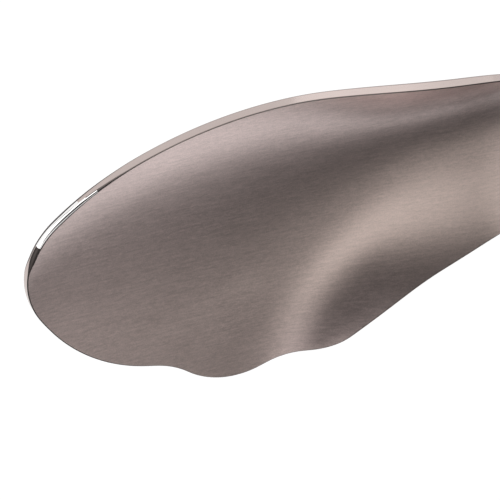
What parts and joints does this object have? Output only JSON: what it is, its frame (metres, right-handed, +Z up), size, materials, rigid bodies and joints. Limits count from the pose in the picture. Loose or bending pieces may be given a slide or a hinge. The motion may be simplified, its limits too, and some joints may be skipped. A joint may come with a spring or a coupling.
{
  "type": "sculpting spatula",
  "caption": "Cranked sculpting spatula: a leaf-shaped formed steel blade with a raised lip, a scalloped working edge and a channel neck, on a full tang with riveted wooden scales.",
  "frame": {"origin": "middle of the back scale's flat outer face, which the handle rests on", "axes": "+X from the blade's tip to the butt of the handle, +Y toward the lipped back edge, +Z up out of the blade's hollow side"},
  "size_m": [0.2151, 0.0407, 0.014],
  "materials": {
    "blade_steel": "stainless steel brushed along the blade, polished on its thin edge",
    "bolster_steel": "satin stainless steel",
    "pin_steel": "flush ground stainless steel",
    "hardwood": "oiled walnut",
    "brass": "satin brass, flush ground"
  },
  "bodies": {
    "root": {"blade": "blade_steel", "front_bolster": "bolster_steel", "back_bolster": "bolster_steel", "front_scale": "hardwood", "back_scale": "hardwood", "lanyard_tube": "brass", "bolster_pin_1": "pin_steel", "bolster_pin_2": "pin_steel", "rivet_male_1": "brass", "rivet_female_1": "brass", "rivet_male_2": "brass", "rivet_female_2": "brass", "rivet_male_3": "brass", "rivet_female_3": "brass"}
  },
  "joints": []
}
